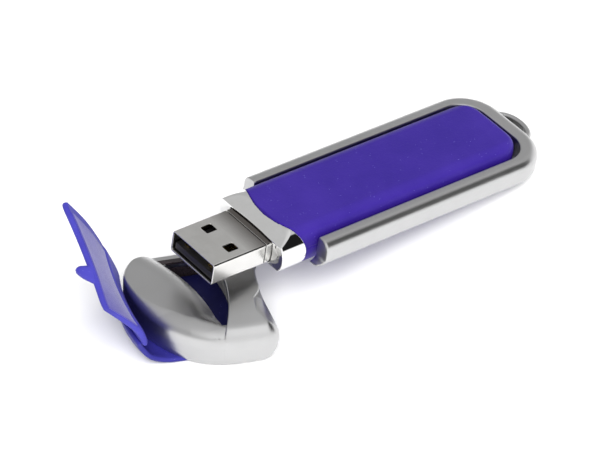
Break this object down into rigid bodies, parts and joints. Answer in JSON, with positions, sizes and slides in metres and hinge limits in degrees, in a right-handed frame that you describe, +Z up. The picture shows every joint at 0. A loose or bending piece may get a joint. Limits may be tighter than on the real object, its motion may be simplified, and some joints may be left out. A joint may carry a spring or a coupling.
{
  "type": "usb flash drive",
  "caption": "Leather-panelled flash drive in a metal U-frame with a chrome bezel and USB-A plug, and its pulled-off metal cap with an open leather flap.",
  "frame": {"origin": "on the ground under the middle of the whole object", "axes": "+X along the drive from the plug to the key-ring lug, +Z up, +Y to the left of the drive's plug"},
  "size_m": [0.1012, 0.0352, 0.027],
  "materials": {
    "satin_nickel": "satin nickel plate, fine bead-blasted grain",
    "chrome": "mirror chrome plate",
    "plug_steel": "bright nickel-plated steel sheet",
    "contact_gold": "gold-flashed contact",
    "blue_leather": "smooth ultramarine leather with a fine grain",
    "lining_leather": "matt violet lining",
    "black_plastic": "moulded, matt",
    "liner_plastic": "moulded, dark and glossy",
    "board_laminate": "green solder mask",
    "ceramic": "fired ceramic",
    "clear_plastic": "clear moulded lens"
  },
  "bodies": {
    "drive": {"frame_band": "satin_nickel", "key_ring_lug": "satin_nickel", "leather_top_panel": "blue_leather", "leather_bottom_panel": "blue_leather", "core_shell_top": "black_plastic", "core_shell_bottom": "black_plastic", "bezel": "chrome", "plug_shell": "plug_steel", "plug_collar": "plug_steel", "plug_insulator": "black_plastic", "contact_power": "contact_gold", "contact_data_minus": "contact_gold", "contact_data_plus": "contact_gold", "contact_ground": "contact_gold", "circuit_board": "board_laminate", "controller_chip": "black_plastic", "memory_chip": "black_plastic", "crystal": "plug_steel", "indicator_led": "clear_plastic", "capacitor_1": "ceramic", "capacitor_2": "ceramic", "capacitor_3": "ceramic", "capacitor_4": "ceramic"},
    "cap": {"cap_shell": "satin_nickel", "cap_liner": "liner_plastic", "cap_floor_leather": "blue_leather", "strap_base": "blue_leather"},
    "flap_lower": {"flap_lower": "blue_leather"},
    "flap_upper": {"flap_upper": "blue_leather"}
  },
  "joints": [
    {"name": "cap_pull", "type": "slide", "parent": "drive", "child": "cap", "axis": [-0.891, 0.454, 0], "range_m": [0, 0.035]},
    {"name": "flap_lift", "type": "hinge", "parent": "cap", "child": "flap_lower", "pos_m": [-0.04102, 0.00537, 0.001], "axis": [0.454, 0.891, 0], "range_deg": [-50, 1]},
    {"name": "flap_bend", "type": "hinge", "parent": "flap_lower", "child": "flap_upper", "pos_m": [-0.04298, 0.00637, 0.0109], "axis": [0.454, 0.891, 0], "range_deg": [-15, 35]}
  ]
}
